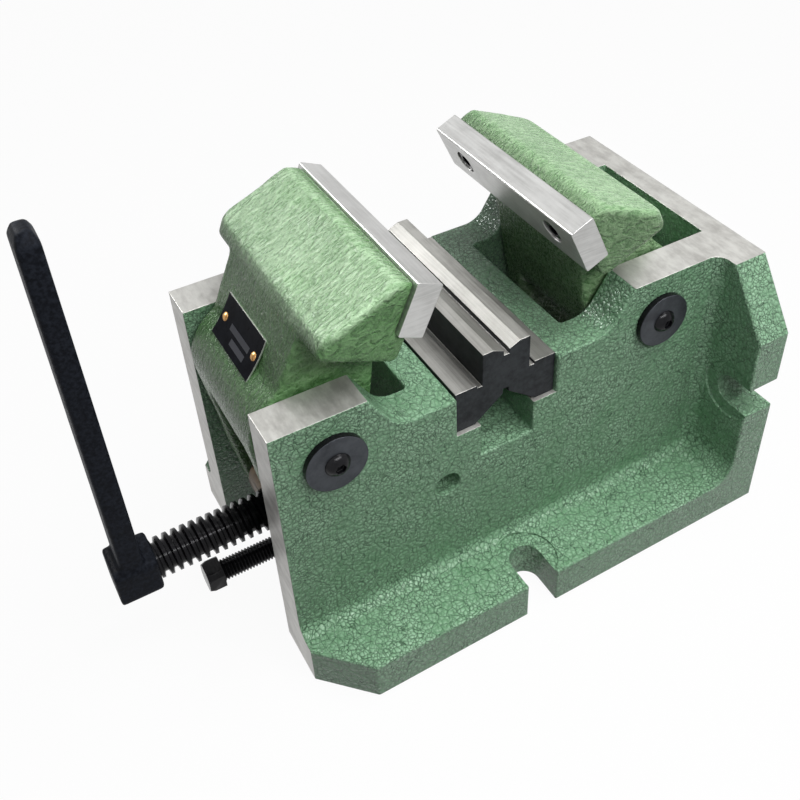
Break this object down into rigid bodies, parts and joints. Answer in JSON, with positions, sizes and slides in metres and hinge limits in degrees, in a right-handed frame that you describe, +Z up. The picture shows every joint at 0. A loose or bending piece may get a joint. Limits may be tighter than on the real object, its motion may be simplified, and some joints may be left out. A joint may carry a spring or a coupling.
{
  "type": "self-centring lever vise",
  "caption": "Bench vise whose hinged jaws close together over a reversible V-block, driven by one double-threaded screw and a crank.",
  "frame": {"origin": "on the resting face, below the middle of the V-block, midway between the two cheeks", "axes": "+X along the lead screw, from the crank to the end plate; +Z up; +Y across, away from the picture's camera"},
  "size_m": [0.2901, 0.1654, 0.2158],
  "materials": {
    "green_hammertone": "green hammertone paint on cast iron",
    "ground_steel": "ground, bare",
    "hardened_steel": "hardened and ground, dark ends",
    "turned_steel": "turned",
    "black_oxide": "black oxide",
    "black_screw": "oiled black oxide",
    "black_texture": "fine textured black paint",
    "bronze": "cast bronze, machined",
    "plate_black": "anodised, dark, bare",
    "brass": "bare"
  },
  "bodies": {
    "base": {"base_casting": "green_hammertone", "left_pivot_pin": "turned_steel", "right_pivot_pin": "turned_steel", "pivot_washers": "black_oxide", "pivot_screws": "black_oxide", "screw_yoke": "turned_steel", "yoke_screws": "black_oxide"},
    "left_jaw": {"left_jaw_lever": "green_hammertone", "left_jaw_plate": "ground_steel", "left_plate_screws": "black_oxide", "name_plate": "plate_black", "name_plate_rivets": "brass", "left_nut_pins": "turned_steel"},
    "right_jaw": {"right_jaw_lever": "green_hammertone", "right_jaw_plate": "ground_steel", "right_plate_screws": "black_oxide", "right_nut_pins": "turned_steel"},
    "left_nut": {"left_nut": "bronze"},
    "right_nut": {"right_nut": "bronze"},
    "screw_carrier": {"neck_block_lower": "bronze", "neck_block_upper": "bronze", "neck_block_screws": "black_oxide"},
    "lead_screw": {"lead_screw": "black_screw", "crank_handle": "black_texture", "crank_set_screw": "black_oxide"},
    "v_block": {"v_block": "hardened_steel"},
    "centring_bolt": {"centring_bolt": "black_oxide"}
  },
  "joints": [
    {"name": "screw_turn", "type": "hinge", "parent": "screw_carrier", "child": "lead_screw", "pos_m": [0, 0, 0.0418], "axis": [1, 0, 0], "range_deg": [-2520, 2520]},
    {"name": "left_jaw_swing", "type": "hinge", "parent": "base", "child": "left_jaw", "pos_m": [-0.0785, 0, 0.1126], "axis": [0, 1, 0], "range_deg": [-23.5, 23.5]},
    {"name": "right_jaw_swing", "type": "hinge", "parent": "base", "child": "right_jaw", "pos_m": [0.0785, 0, 0.1126], "axis": [0, -1, 0], "range_deg": [-23.5, 23.5]},
    {"name": "left_nut_swivel", "type": "hinge", "parent": "left_jaw", "child": "left_nut", "pos_m": [-0.0785, 0, 0.0418], "axis": [0, 1, 0], "range_deg": [-23.5, 23.5]},
    {"name": "right_nut_swivel", "type": "hinge", "parent": "right_jaw", "child": "right_nut", "pos_m": [0.0785, 0, 0.0418], "axis": [0, -1, 0], "range_deg": [-23.5, 23.5]},
    {"name": "screw_travel", "type": "slide", "parent": "left_nut", "child": "screw_carrier", "axis": [1, 0, 0], "range_m": [-0.0284, 0.0284]},
    {"name": "block_slide", "type": "slide", "parent": "base", "child": "v_block", "axis": [0, 1, 0], "range_m": [-0.05, 0.05]},
    {"name": "bolt_turn", "type": "hinge", "parent": "base", "child": "centring_bolt", "pos_m": [0, 0, 0.0154], "axis": [1, 0, 0], "range_deg": [-720, 720]}
  ],
  "couplings": [
    {"joint": "left_jaw_swing", "follows": "screw_turn", "ratio": 0.0092035},
    {"joint": "right_jaw_swing", "follows": "screw_turn", "ratio": 0.0092035},
    {"joint": "left_nut_swivel", "follows": "screw_turn", "ratio": -0.0092035},
    {"joint": "right_nut_swivel", "follows": "screw_turn", "ratio": -0.0092035},
    {"joint": "screw_travel", "follows": "screw_turn", "m_per_rad": 0.00063662}
  ]
}
